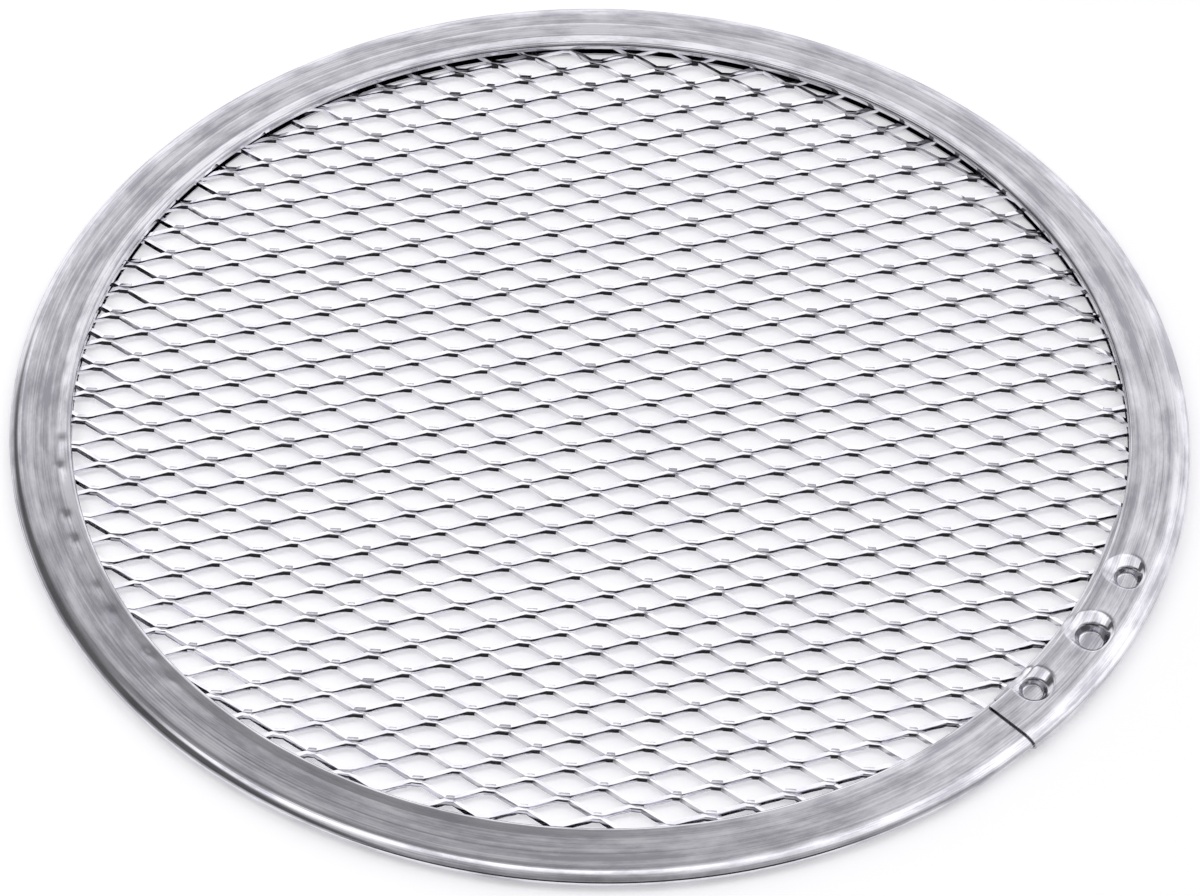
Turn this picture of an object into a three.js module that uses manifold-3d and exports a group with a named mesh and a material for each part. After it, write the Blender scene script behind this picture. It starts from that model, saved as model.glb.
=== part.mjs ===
// A pizza screen: a disc of expanded aluminium sheet held by a rolled channel rim.
// Millimetres, +Z up. The origin is the centre of the ring on the surface it lies on.

import * as THREE from 'three';
import { mergeVertices } from 'three/addons/utils/BufferGeometryUtils.js';
import Module from 'manifold-3d';

const wasm = await Module();
wasm.setup();
const { degToRad, radToDeg, smoothstep, lerp } = THREE.MathUtils;

// Rim: one flat strip folded to a channel, with its open side towards the centre.
const RIM_DIAMETER = 254;
const RIM_WIDTH = 13.3;
const RIM_HEIGHT = 3.4;
const STRIP = 0.5;
const FOLD_DEPTH = 3.4;

// Its upper inner edge: a band that rises a little and is then curled down to the sheet.
const BAND_WIDTH = 2.9;
const BAND_RISE = 0.15;
const CURL_WIDTH = 0.7;
const CURL_SHOULDER = 3.0;
const CURL_BOTTOM = 1.95;

// Lap joint: the end of the strip is a sleeve that slips over the start, the tongue.
const SLEEVE_END_ANGLE = 315.4;
const STEPS_PER_TURN = 56;
const LAP_STEPS = 5;
const LAP_GAP = 0.12;
const LAP_EDGE_DROP = 0.05;
const SLEEVE_RISE = 0.3;
const SLEEVE_RAMP_STEPS = 4;
const TONGUE_RAMP_STEPS = 2;
const TONGUE_LOWER_FLANGE = 6;

// Punched dimples that lock the lap, as angle and radius of each centre.
const DIMPLES = [
  { angle: 321.0, radius: 118.5 },
  { angle: 330.0, radius: 120.0 },
  { angle: 338.6, radius: 120.1 },
];
const DIMPLE_RADIUS = 3.9;
const DIMPLE_MOUTH_RADIUS = 3.0;
const DIMPLE_FLOOR_RADIUS = 2.5;
const DIMPLE_SHOULDER = 0.25;
const DIMPLE_DEPTH = 1.3;
const DIMPLE_BITE = 0.3;
const DIMPLE_INSET = 0.05;
const DIMPLE_SEGMENTS = 8;

// Expanded sheet: bonds on a diamond grid, turned and a little skewed as it lies in the rim.
const LONG_WAY = 15.0;
const SHORT_WAY = 7.9;
const SHEET = 0.75;
const BOND_LENGTH = 2.2;
const BOND_HALF_WIDTH = 0.72;
const BOND_TILT = 25;
const GRID_TURN = -6.93;
const GRID_SKEW = -1.87;
const GRID_CENTRE = new THREE.Vector2(-4.83, -1.5);
const SHEET_HEIGHT = 1.2;
const BLANK_RADIUS = 115.4;
const LAP_BLANK_RADIUS = 114.6;
const SHORTEST_STUB = 0.3;

const OUTER_RADIUS = RIM_DIAMETER / 2;
const INNER_RADIUS = OUTER_RADIUS - RIM_WIDTH;
const FOLD_RADIUS = OUTER_RADIUS - FOLD_DEPTH;
const BAND_RADIUS = INNER_RADIUS + BAND_WIDTH;
const CREST_RADIUS = INNER_RADIUS + CURL_WIDTH;
const CREST_HEIGHT = RIM_HEIGHT + BAND_RISE;
const MID_HEIGHT = RIM_HEIGHT / 2;
const STEP_ANGLE = 360 / STEPS_PER_TURN;
const STRIP_STEPS = STEPS_PER_TURN + LAP_STEPS;
const LAP_ANGLE = LAP_STEPS * STEP_ANGLE;
const TONGUE_SINK = STRIP + LAP_GAP - SLEEVE_RISE;
const MERGE_DISTANCE = 1e-4;

const aluminium = { metalness: 0.9, roughness: 0.45 };
const rimMaterial = new THREE.MeshStandardMaterial({ color: 0xb4b6b9, ...aluminium });
const sheetMaterial = new THREE.MeshStandardMaterial({ color: 0xd5d7d9, ...aluminium });

// A closed geometry as a solid: corners merged, and the empty triangles at a pole left out.
function solidOf(geometry) {
  const bare = geometry.clone();
  bare.deleteAttribute('normal');
  bare.deleteAttribute('uv');
  const merged = mergeVertices(bare, MERGE_DISTANCE);
  const corners = merged.index.array;
  const triangles = [];
  for (let i = 0; i < corners.length; i += 3) {
    const [a, b, c] = corners.slice(i, i + 3);
    if (a !== b && b !== c && c !== a) {
      triangles.push(a, b, c);
    }
  }
  return new wasm.Manifold(new wasm.Mesh({
    numProp: 3,
    vertProperties: new Float32Array(merged.attributes.position.array),
    triVerts: new Uint32Array(triangles),
  }));
}

function meshOf(name, solid, material) {
  const { vertProperties, triVerts } = solid.getMesh();
  const geometry = new THREE.BufferGeometry();
  geometry.setAttribute('position', new THREE.BufferAttribute(vertProperties, 3));
  geometry.setIndex(new THREE.BufferAttribute(triVerts, 1));
  geometry.computeVertexNormals();
  const mesh = new THREE.Mesh(geometry, material);
  mesh.name = name;
  return mesh;
}

function onRing({ angle, radius }) {
  const turn = degToRad(angle);
  return new THREE.Vector2(radius * Math.cos(turn), radius * Math.sin(turn));
}

function uprightCylinder(radius, bottom, top, sides, centre) {
  const geometry = new THREE.CylinderGeometry(radius, radius, top - bottom, sides);
  geometry.rotateX(Math.PI / 2);
  geometry.translate(centre.x, centre.y, (bottom + top) / 2);
  return solidOf(geometry);
}

// Section of the channel, x outwards and y up: a round fold between a flat lower flange and an
// upper flange whose inner edge is curled down to the sheet.
function channelSection() {
  const section = new THREE.Shape();
  section.moveTo(INNER_RADIUS, 0);
  section.lineTo(FOLD_RADIUS, 0);
  section.absellipse(FOLD_RADIUS, MID_HEIGHT, FOLD_DEPTH, MID_HEIGHT, -Math.PI / 2, Math.PI / 2);
  section.lineTo(BAND_RADIUS, RIM_HEIGHT);
  section.lineTo(CREST_RADIUS, CREST_HEIGHT);
  section.lineTo(INNER_RADIUS, CURL_SHOULDER);
  section.lineTo(INNER_RADIUS, CURL_BOTTOM);
  section.lineTo(INNER_RADIUS + STRIP, CURL_BOTTOM);
  section.lineTo(CREST_RADIUS, CREST_HEIGHT - STRIP);
  section.lineTo(BAND_RADIUS, RIM_HEIGHT - STRIP);
  section.absellipse(FOLD_RADIUS, MID_HEIGHT, FOLD_DEPTH - STRIP, MID_HEIGHT - STRIP,
    Math.PI / 2, -Math.PI / 2, true);
  section.lineTo(INNER_RADIUS, STRIP);
  section.closePath();
  return section;
}

// Height of a point on the curled edge where the lap presses the curl flat, to one thickness.
function pressedHeight(height) {
  const squeeze = STRIP / (CREST_HEIGHT - CURL_BOTTOM);
  return RIM_HEIGHT - LAP_EDGE_DROP - (CREST_HEIGHT - height) * squeeze;
}

// Rolls one point of the straight channel into the ring. The straight channel runs from the
// tip of the tongue, at station 0, to the end of the sleeve.
function rollIntoRing(point) {
  const { x: radius, y: height, z: station } = point;
  const toSleeveEnd = STRIP_STEPS - station;
  const sleeve = 1 - smoothstep(toSleeveEnd, LAP_STEPS, LAP_STEPS + SLEEVE_RAMP_STEPS);
  const tongue = smoothstep(toSleeveEnd, STEPS_PER_TURN - TONGUE_RAMP_STEPS, STEPS_PER_TURN);
  const lapped = smoothstep(toSleeveEnd, STEPS_PER_TURN - 1, STEPS_PER_TURN);

  const upper = (1 + Math.sign(height - MID_HEIGHT)) / 2;
  const growth = SLEEVE_RISE * sleeve - TONGUE_SINK * tongue;
  const lift = (STRIP + LAP_GAP) * lapped;
  const onCurl = upper === 1 && radius < INNER_RADIUS + BAND_WIDTH / 2;
  const pressed = onCurl ? lerp(height, pressedHeight(height), Math.max(sleeve, tongue)) : height;

  const flangeScale = lerp(1, TONGUE_LOWER_FLANGE / (RIM_WIDTH - FOLD_DEPTH), lapped);
  const trimmed = upper === 0 && radius < FOLD_RADIUS;
  const reach = trimmed ? FOLD_RADIUS - (FOLD_RADIUS - radius) * flangeScale : radius;

  const angle = SLEEVE_END_ANGLE + toSleeveEnd * STEP_ANGLE;
  const place = onRing({ angle, radius: reach + growth });
  const risen = pressed + upper * growth + (1 - upper) * lift;
  return point.set(place.x, place.y, risen);
}

function rolledChannel() {
  const geometry = new THREE.ExtrudeGeometry(channelSection(), {
    depth: STRIP_STEPS,
    steps: STRIP_STEPS,
    curveSegments: 2,
    bevelEnabled: false,
  });
  const positions = geometry.attributes.position;
  const point = new THREE.Vector3();
  for (let i = 0; i < positions.count; i += 1) {
    rollIntoRing(point.fromBufferAttribute(positions, i));
    positions.setXYZ(i, point.x, point.y, point.z);
  }
  return solidOf(geometry);
}

// One layer of a punched dimple, a shallow cup turned about its own axis.
function dimpleCup(centre, flangeTop) {
  const upper = [
    new THREE.Vector2(0, -DIMPLE_DEPTH),
    new THREE.Vector2(DIMPLE_FLOOR_RADIUS, -DIMPLE_DEPTH),
    new THREE.Vector2(DIMPLE_MOUTH_RADIUS, -DIMPLE_SHOULDER),
    new THREE.Vector2(DIMPLE_RADIUS, -DIMPLE_INSET),
  ];
  const thickness = new THREE.Vector2(0, STRIP - 2 * DIMPLE_INSET);
  const lower = upper.map((corner) => corner.clone().sub(thickness));
  const profile = [...lower, ...upper.reverse()];
  const geometry = new THREE.LatheGeometry(profile, DIMPLE_SEGMENTS);
  geometry.rotateX(Math.PI / 2);
  geometry.translate(centre.x, centre.y, flangeTop);
  return solidOf(geometry);
}

// The rolled channel with its lap locked: both layers are pressed down together.
function rim() {
  const sleeveTop = RIM_HEIGHT + SLEEVE_RISE;
  const tongueTop = RIM_HEIGHT - TONGUE_SINK;
  let channel = rolledChannel();
  for (const dimple of DIMPLES) {
    const centre = onRing(dimple);
    const holeRadius = DIMPLE_RADIUS - DIMPLE_BITE;
    const hole = uprightCylinder(holeRadius, MID_HEIGHT, sleeveTop + STRIP, DIMPLE_SEGMENTS, centre);
    channel = channel.subtract(hole);
    channel = channel.add(dimpleCup(centre, sleeveTop));
    channel = channel.add(dimpleCup(centre, tongueTop));
  }
  return channel;
}

// Corners of a bond: the two edges of the tilted sheet, near and far, and the two crotches.
const NEAR_TOP = 0;
const NEAR_BOTTOM = 1;
const FAR_TOP = 2;
const FAR_BOTTOM = 3;
const LEFT = 4;
const RIGHT = 5;

const gridAlong = onRing({ angle: GRID_TURN, radius: LONG_WAY / 2 });
const gridAcross = onRing({ angle: GRID_TURN + GRID_SKEW + 90, radius: SHORT_WAY / 2 });

function bondCentre(column, row) {
  return GRID_CENTRE.clone().addScaledVector(gridAlong, column).addScaledVector(gridAcross, row);
}

// Its far edge hangs lower than its near edge, as slitting and stretching leave it.
function bondPoints(middle) {
  const tilt = new THREE.Matrix4().makeRotationX(degToRad(-BOND_TILT));
  const turn = new THREE.Matrix4().makeRotationZ(degToRad(GRID_TURN));
  const seat = new THREE.Matrix4().makeTranslation(middle.x, middle.y, SHEET_HEIGHT);
  const place = seat.multiply(turn).multiply(tilt);
  const corners = [
    new THREE.Vector3(0, -BOND_HALF_WIDTH, SHEET / 2),
    new THREE.Vector3(0, -BOND_HALF_WIDTH, -SHEET / 2),
    new THREE.Vector3(0, BOND_HALF_WIDTH, SHEET / 2),
    new THREE.Vector3(0, BOND_HALF_WIDTH, -SHEET / 2),
    new THREE.Vector3(-BOND_LENGTH / 2, 0, 0),
    new THREE.Vector3(BOND_LENGTH / 2, 0, 0),
  ];
  return corners.map((corner) => corner.applyMatrix4(place));
}

// The six faces of a strand that leaves bond a to the right and meets bond b on its left side.
// The outer edge of a is the one on the side of the strand, and that of b is the opposite one.
function strandFaces(a, b, rising) {
  const [top, bottom] = rising ? [FAR_TOP, FAR_BOTTOM] : [NEAR_BOTTOM, NEAR_TOP];
  const [endTop, endBottom] = rising ? [NEAR_TOP, NEAR_BOTTOM] : [FAR_BOTTOM, FAR_TOP];
  return [
    [a + top, a + RIGHT, b + endTop],
    [a + top, b + endTop, b + LEFT],
    [a + RIGHT, b + endBottom, b + endTop],
    [a + RIGHT, a + bottom, b + endBottom],
    [a + bottom, b + LEFT, b + endBottom],
    [a + bottom, a + top, b + LEFT],
  ];
}

function bondFaces(a) {
  return [
    [a + LEFT, a + NEAR_TOP, a + FAR_TOP],
    [a + NEAR_TOP, a + RIGHT, a + FAR_TOP],
    [a + LEFT, a + FAR_BOTTOM, a + NEAR_BOTTOM],
    [a + FAR_BOTTOM, a + RIGHT, a + NEAR_BOTTOM],
  ];
}

// The four sides of a bond, each with the face that closes it where no strand leaves it.
const SIDES = [
  { right: 1, up: 1, end: [FAR_TOP, RIGHT, FAR_BOTTOM] },
  { right: 1, up: -1, end: [RIGHT, NEAR_TOP, NEAR_BOTTOM] },
  { right: -1, up: 1, end: [LEFT, FAR_TOP, FAR_BOTTOM] },
  { right: -1, up: -1, end: [LEFT, NEAR_BOTTOM, NEAR_TOP] },
];

// Radius of the round blank in the direction of a point. It is cut back along the lap.
function blankRadius(point) {
  const beyondSleeveEnd = radToDeg(point.angle()) - SLEEVE_END_ANGLE;
  const atLap = beyondSleeveEnd > 0 && beyondSleeveEnd < LAP_ANGLE;
  return atLap ? LAP_BLANK_RADIUS : BLANK_RADIUS;
}

// The share of a strand, from a bond inside the blank to one outside, that lies inside.
function shareInside(from, to) {
  const way = to.clone().sub(from);
  const along = from.dot(way);
  const room = blankRadius(from) ** 2 - from.lengthSq();
  return (Math.sqrt(along ** 2 + way.lengthSq() * room) - along) / way.lengthSq();
}

// Every bond inside the blank and the strands from it. A strand to a bond outside the blank
// ends on the edge of the blank, at a cut with the section that it would have at that bond.
function meshDisc() {
  const reach = Math.ceil(RIM_DIAMETER / SHORT_WAY);
  const positions = [];
  const faces = [];
  const bonds = new Map();

  function addBond(centre) {
    const first = positions.length / 3;
    positions.push(...bondPoints(centre).flatMap((corner) => corner.toArray()));
    return first;
  }

  for (let column = -reach; column <= reach; column += 1) {
    for (let row = -reach; row <= reach; row += 1) {
      const centre = bondCentre(column, row);
      const onGrid = (column + row) % 2 === 0;
      if (onGrid && centre.length() < blankRadius(centre)) {
        bonds.set(`${column},${row}`, { column, row, centre, first: addBond(centre) });
      }
    }
  }

  // A strand cut at the edge of the blank, with the face of the cut. Too short a stub is left out.
  function addStub({ column, row, centre, first }, { right, up, end }) {
    const outside = bondCentre(column + right, row + up);
    const share = shareInside(centre, outside);
    if (share < SHORTEST_STUB) {
      faces.push(end.map((corner) => first + corner));
      return;
    }
    const cut = addBond(centre.clone().lerp(outside, share));
    const facing = SIDES.find((side) => side.right === -right && side.up === -up);
    faces.push(facing.end.map((corner) => cut + corner).reverse());
    const [leftBond, rightBond] = right === 1 ? [first, cut] : [cut, first];
    faces.push(...strandFaces(leftBond, rightBond, right === up));
  }

  for (const bond of bonds.values()) {
    faces.push(...bondFaces(bond.first));
    for (const side of SIDES) {
      const next = bonds.get(`${bond.column + side.right},${bond.row + side.up}`);
      if (!next) {
        addStub(bond, side);
      } else if (side.right === 1) {
        faces.push(...strandFaces(bond.first, next.first, side.up === 1));
      }
    }
  }

  const geometry = new THREE.BufferGeometry();
  geometry.setAttribute('position', new THREE.Float32BufferAttribute(positions, 3));
  geometry.setIndex(faces.flat());
  return solidOf(geometry);
}

const pizzaScreen = new THREE.Group();
pizzaScreen.name = 'pizza_screen';
pizzaScreen.add(meshOf('rim_channel', rim(), rimMaterial));
pizzaScreen.add(meshOf('mesh_disc', meshDisc(), sheetMaterial));

export default pizzaScreen;
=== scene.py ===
"""Looks of a pizza screen: a disc of expanded aluminium sheet in a rolled channel rim.

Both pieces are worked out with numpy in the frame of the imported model, in metres, with +Z up and
the origin in the middle of the ring on the surface that it lies on.
"""

import math

import bpy
import numpy as np
from bpy.props import (
    FloatProperty,
    FloatVectorProperty,
    IntProperty,
    PointerProperty,
)
from mathutils import Matrix, Vector


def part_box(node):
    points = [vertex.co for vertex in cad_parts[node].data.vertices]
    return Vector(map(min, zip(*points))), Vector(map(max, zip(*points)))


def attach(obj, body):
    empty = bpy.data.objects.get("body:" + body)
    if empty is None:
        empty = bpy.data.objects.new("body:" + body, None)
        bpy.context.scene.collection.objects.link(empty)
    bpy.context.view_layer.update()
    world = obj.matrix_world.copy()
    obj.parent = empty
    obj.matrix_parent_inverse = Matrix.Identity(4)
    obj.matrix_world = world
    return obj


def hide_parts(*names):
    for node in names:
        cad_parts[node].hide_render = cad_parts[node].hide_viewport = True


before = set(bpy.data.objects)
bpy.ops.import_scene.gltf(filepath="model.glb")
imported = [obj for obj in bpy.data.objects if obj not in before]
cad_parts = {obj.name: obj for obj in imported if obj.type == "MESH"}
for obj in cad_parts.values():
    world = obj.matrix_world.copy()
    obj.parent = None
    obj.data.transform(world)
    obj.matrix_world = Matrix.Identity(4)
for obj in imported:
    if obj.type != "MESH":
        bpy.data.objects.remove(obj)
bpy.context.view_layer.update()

bl_info = {
    "name": "Pizza Screen",
    "version": (1, 0, 0),
    "blender": (4, 5, 0),
    "location": "View3D > Sidebar > Pizza Screen",
    "description": "Rolled aluminium rim and expanded sheet of a pizza screen, with a plain stage",
    "category": "Add Mesh",
}

MM = 0.001
DEGREE = math.pi / 180
TURN = 2 * math.pi
RIM_LOW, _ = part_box("rim_channel")


def linear(hex_colour):
    """A linear RGBA colour from an sRGB hex value."""
    srgb = np.array([int(hex_colour[i:i + 2], 16) for i in (1, 3, 5)]) / 255
    rgb = np.where(srgb <= 0.04045, srgb / 12.92, ((srgb + 0.055) / 1.055) ** 2.4)
    return (*rgb.tolist(), 1.0)


def length(name, description, millimetres):
    """A length of the piece, given in millimetres and kept in metres."""
    return FloatProperty(name=name, description=description, default=millimetres * MM,
                         unit="LENGTH", subtype="DISTANCE", precision=5)


def angle(name, description, degrees):
    """An angle of the piece, given in degrees and kept in radians."""
    return FloatProperty(name=name, description=description, default=math.radians(degrees),
                         unit="ROTATION", subtype="ANGLE")


def each_dimple(name, description, values, unit, scale):
    """A length or an angle for each of the three dimples, times the scale that it is given in."""
    return FloatVectorProperty(name=name, description=description, unit=unit, size=3,
                               default=[value * scale for value in values])


def fraction(name, description, default):
    """A share from 0 to 1."""
    return FloatProperty(name=name, description=description, default=default, min=0, max=1)


def colour(name, description, hex_colour):
    """A colour of a finish, given as sRGB hex."""
    return FloatVectorProperty(name=name, description=description, default=linear(hex_colour),
                               size=4, subtype="COLOR", min=0, max=1)


class RimSettings(bpy.types.PropertyGroup):
    """Sizes and colours of the rim."""

    radius: length("Outer radius", "Outside of the fold, away from the lap", -RIM_LOW.y / MM)
    width: length("Width", "From the inner edge to the outside of the fold", 13.3)
    height: length("Height", "Over both flanges, away from the lap", 3.4)
    strip: length("Strip", "Thickness of the strip", 0.5)
    fold: length("Fold depth", "How far the round fold reaches outwards", 3.4)
    band: length("Band width", "The band along the inner edge, which rises inwards", 2.9)
    band_rise: length("Band rise", "How far that band rises", 0.15)
    curl: length("Curl radius", "Outer radius of the inner edge, curled down", 0.8)
    curl_bottom: length("Curl bottom", "Where the curled edge meets the sheet", 1.95)
    crease: length("Crease radius", "The line that the rolls left in the upper flange", 120.7)
    crease_depth: length("Crease depth", "Depth of that line", 0.02)
    crease_width: length("Crease width", "Half the width of that line", 0.22)
    sleeve_end: angle("Sleeve end", "Where the strip's end lies over its start", 315.4)
    lap: angle("Lap", "How far the strip overlaps itself", 32.14)
    sleeve_rise: length("Sleeve rise", "How far the sleeve stands proud of the ring", 0.3)
    tongue_sink: length("Tongue sink", "How far the tongue lies below the ring", 0.32)
    tongue_lift: length("Tongue lift", "How far its lower flange lies above the ring's", 0.62)
    tongue_cut: length("Tongue cut", "How much narrower its lower flange is", 3.9)
    joggle: angle("Joggle", "Length over which that flange is lifted and cut back", 6.4)
    pressed_drop: length("Pressed drop", "How far the curl lies below the flange in the lap", 0.11)
    dimple_angles: each_dimple("Dimple angles", "Punch marks, as angles from the sleeve's end",
                               (5.1, 14.4, 23.2), "ROTATION", DEGREE)
    dimple_radii: each_dimple("Dimple radii", "Punch marks, as distances from the ring's middle",
                              (117.0, 119.2, 119.5), "LENGTH", MM)
    dimple_mouths: each_dimple("Dimple mouths", "Radius of each pocket at its mouth",
                               (2.95, 3.65, 2.95), "LENGTH", MM)
    dimple_depths: each_dimple("Dimple depths", "Depth of each pocket below its dish",
                               (1.4, 1.8, 1.45), "LENGTH", MM)
    dish: length("Dish depth", "Hollow that the punch drew round each pocket", 0.85)
    mark: length("Mark depth", "Dents of the press along the inner edge", 0.27)
    colour: colour("Strip colour", "Clean rolled aluminium", "#E6E5EA")
    smudge: colour("Smudge colour", "Aluminium dulled by oil and handling", "#ACABB2")


class SheetSettings(bpy.types.PropertyGroup):
    """Sizes and colours of the expanded sheet."""

    radius: length("Blank radius", "Edge of the round blank inside the rim", 115.3)
    lap_radius: length("Blank radius at the lap", "Cut back where two layers meet", 114.4)
    long_way: length("Long way", "Pitch of the diamonds along the slits", 15.0)
    short_way: length("Short way", "Pitch of the diamonds across the slits", 7.9)
    strand: length("Strand width", "Width that is slit off for each strand", 1.25)
    sheet: length("Sheet", "Thickness of the sheet", 0.85)
    bond: length("Bond length", "Mean uncut length between two slits", 2.35)
    bond_spread: length("Bond spread", "How much longer the bonds of every second row are", 0.6)
    short_share: fraction("Short share", "Share of the steps at the short bonds", 0.55)
    tilt: angle("Bond tilt", "How far stretching turned the bonds", 21)
    tilt_spread: angle("Tilt spread", "How much more the bonds at the near edge are turned", 2.5)
    rising_tilt: angle("Rising tilt", "That turn halfway along a strand that rises to the right", 12)
    falling_tilt: angle("Falling tilt", "That turn halfway along a strand that falls to the right", 17)
    shear: angle("Shear angle", "How far the sheared faces lean back from square", 6)
    falling_lean: angle("Falling lean", "Lean of that face on a strand that falls to the right", 9)
    left_step: length("Left step", "How far a bond's far half is lifted at its left end", 0.16)
    right_step: length("Right step", "The same at the bond's right end", 0.45)
    pitch: length("Bond pitch", "How far a bond's near edge climbs from left to right", 0.3)
    lean: angle("Shear lean", "How far the upper part of a sheared face leans back at a bond", 10.5)
    rising_lean: angle("Rising lean", "The same halfway along a strand that rises to the right", 14)
    pressed: fraction("Pressed share", "Tilt and step that are left under the rim", 0.5)
    turn: angle("Turn", "How the diamonds lie in the rim", -6.93)
    skew: angle("Skew", "How far the rows lean", -1.87)
    centre: FloatVectorProperty(
        name="Grid centre", description="Where the middle bond lies",
        default=(-4.83 * MM, -1.5 * MM), size=2, unit="LENGTH")
    middle: length("Middle height", "Height of the sheet's middle", 1.2)
    seed: IntProperty(name="Seed", description="Unevenness of the stretching", default=7)
    colour: colour("Sheet colour", "Bright aluminium sheet", "#F4F3F7")
    dull: colour("Dull colour", "Aluminium dulled by the stretching", "#E2E1E8")


class StageSettings(bpy.types.PropertyGroup):
    """Camera, floor and light."""

    camera: FloatVectorProperty(
        name="Camera place", description="Where the camera stands",
        default=(0, -0.7482, 0.8234), size=3, unit="LENGTH")
    dip: angle("Dip", "How far below the ring's middle the camera looks", 0.316)
    roll: angle("Roll", "How far the camera leans", 1.32)
    lens: FloatProperty(name="Lens", description="Focal length in millimetres",
                        default=154.47, unit="CAMERA")
    floor: colour("Floor colour", "Pale table", "#EEEEF0")
    glow: fraction("Floor glow", "White that the eye sees on the floor besides its light", 0.3)
    softbox: FloatProperty(name="Softbox power", description="Watts of the softbox above the left",
                           default=3.2, unit="POWER")


# Shared helpers

def smooth(low, high, value):
    """Eased step from 0 at low to 1 at high: 3t^2 - 2t^3."""
    t = np.clip((value - low) / (high - low), 0, 1)
    return t * t * (3 - 2 * t)


def numbered(points, first):
    """The points' numbers, counted from first, in the shape of the points' array."""
    return first + np.arange(points[..., 0].size).reshape(points.shape[:-1])


def swept_faces(index):
    """Quads between the stations of closed loops, from point numbers [..., station, corner]."""
    after = np.roll(index, -1, -1)
    quads = (index[..., :-1, :], index[..., 1:, :], after[..., 1:, :], after[..., :-1, :])
    return np.stack(quads, -1).reshape(-1, 4)


def add(tree, kind, inputs=None, **settings):
    """One shader node with its settings.

    inputs maps a socket to a value, or to the node or output that feeds it.
    """
    node = tree.nodes.new("ShaderNode" + kind)
    for name, value in settings.items():
        setattr(node, name, value)
    for socket, value in (inputs or {}).items():
        if isinstance(value, bpy.types.Node):
            value = value.outputs[0]
        if isinstance(value, bpy.types.NodeSocket):
            tree.links.new(value, node.inputs[socket])
        else:
            node.inputs[socket].default_value = value
    return node


def new_material(name):
    """An empty material and its node tree."""
    material = bpy.data.materials.new(name)
    material.use_nodes = True
    material.node_tree.nodes.clear()
    return material, material.node_tree


def make_piece(name, points, faces, material, sharp=math.radians(30), bends=None):
    """A mesh object at the origin from points in metres and faces that look outwards.

    Edges are sharp above an angle, and also where both ends belong to the same kind of bend.
    """
    mesh = bpy.data.meshes.new(name)
    mesh.from_pydata(points, [], faces)
    mesh.materials.append(material)
    mesh.shade_smooth()
    mesh.set_sharp_from_angle(angle=sharp)
    if bends is not None:
        ends = np.empty(2 * len(mesh.edges), np.int32)
        mesh.edges.foreach_get("vertices", ends)
        first, second = bends[ends].reshape(-1, 2).T
        crease = np.empty(len(mesh.edges), bool)
        mesh.edges.foreach_get("use_edge_sharp", crease)
        mesh.edges.foreach_set("use_edge_sharp", crease | (first == second) & (first > 0))
    piece = bpy.data.objects.new(name, mesh)
    bpy.context.scene.collection.objects.link(piece)
    return piece


def stand_in(piece, node):
    """The piece takes the place of a CAD node: it hangs from the root body, and the node is hidden."""
    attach(piece, "root")
    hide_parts(node)


# Expanded sheet

class Grid:
    """Bond centres on a diamond grid: centre + column * along + row * across, column + row even."""

    def __init__(self, sheet):
        reach = math.ceil(2 * sheet.radius / sheet.short_way) + 2
        index = np.arange(-reach, reach + 1)
        column, self.row = np.meshgrid(index, index, indexing="ij")
        lean = sheet.turn + sheet.skew + math.pi / 2
        along = sheet.long_way / 2 * np.array((math.cos(sheet.turn), math.sin(sheet.turn)))
        across = sheet.short_way / 2 * np.array((math.cos(lean), math.sin(lean)))
        self.centre = np.array(sheet.centre) + column[..., None] * along + self.row[..., None] * across
        self.used = (column + self.row) % 2 == 0


def blank_radius(points, sheet, rim):
    """Radius of the blank in the direction of each point; it is cut back along the lap."""
    past = np.mod(np.arctan2(points[..., 1], points[..., 0]) - rim.sleeve_end, TURN)
    return np.where(past < rim.lap, sheet.lap_radius, sheet.radius)


def share_inside(start, end, reach):
    """The share of the way from start, inside a circle, to end, outside it, that lies inside."""
    way = end - start
    along = (start * way).sum(-1)
    square = (way * way).sum(-1)
    room = np.maximum(reach ** 2 - (start * start).sum(-1), 0)
    return (np.sqrt(along ** 2 + square * room) - along) / square


def section_axes(heading, tilt):
    """Width and thickness directions of a strand that runs at a heading and is turned by tilt.

    width = cos(tilt) * side - sin(tilt) * up and thick = sin(tilt) * side + cos(tilt) * up, where
    side is the horizontal direction to the left of the heading.
    """
    zero = np.zeros_like(heading)
    side = np.stack((-np.sin(heading), np.cos(heading), zero), -1)
    up = np.array((0.0, 0.0, 1.0))
    sin, cos = np.sin(tilt)[..., None], np.cos(tilt)[..., None]
    return cos * side - sin * up, sin * side + cos * up


def half_thickness(heading, tilt, sheet):
    """Vector from a strand's middle to its top along its sheared faces: thick + tan(shear) * width."""
    width, thick = section_axes(heading, tilt)
    return sheet.sheet / 2 * (thick + math.tan(sheet.shear) * width)


def strand_heading(up, sheet):
    """Heading of the strands from the slits' direction, for those that rise to the right or fall.

    A strand is a strip between two slit ends that are D apart, one on each of its edges, so
    heading = atan2(Dy, Dx) - asin(width * cos(tilt) / |D|).
    """
    x = sheet.long_way / 2 - up * sheet.short_way / 2 * math.sin(sheet.skew) - sheet.bond
    y = sheet.short_way / 2 * math.cos(sheet.skew)
    return up * (math.atan2(y, x) - math.asin(sheet.strand * math.cos(sheet.tilt) / math.hypot(x, y)))


def mitre(up, tilt, sheet):
    """Vector across a strand where it leaves its bond: half its heading, longer by 1 / cos(half)."""
    half = strand_heading(up, sheet) / 2
    across, _ = section_axes(sheet.turn + half + 0 * tilt, tilt)
    return sheet.strand / math.cos(half) * across


# Corners of a strand's section, as side of its path and level: front face, then back face.
SECTION = ((-1, -1), (-1, 0.3), (-1, 1), (1, 1), (1, 0.3), (1, -1))
FRONT_MIDDLE, FRONT_TOP, BACK_MIDDLE = 1, 2, 4
STRAND_STEPS = 8
# Share of a strand over which it bends at each bond, and the part of it that has its own tilt.
BEND_SHARE = 0.12
TILTED_FROM, TILTED_TO = 0.18, 0.65
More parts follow.
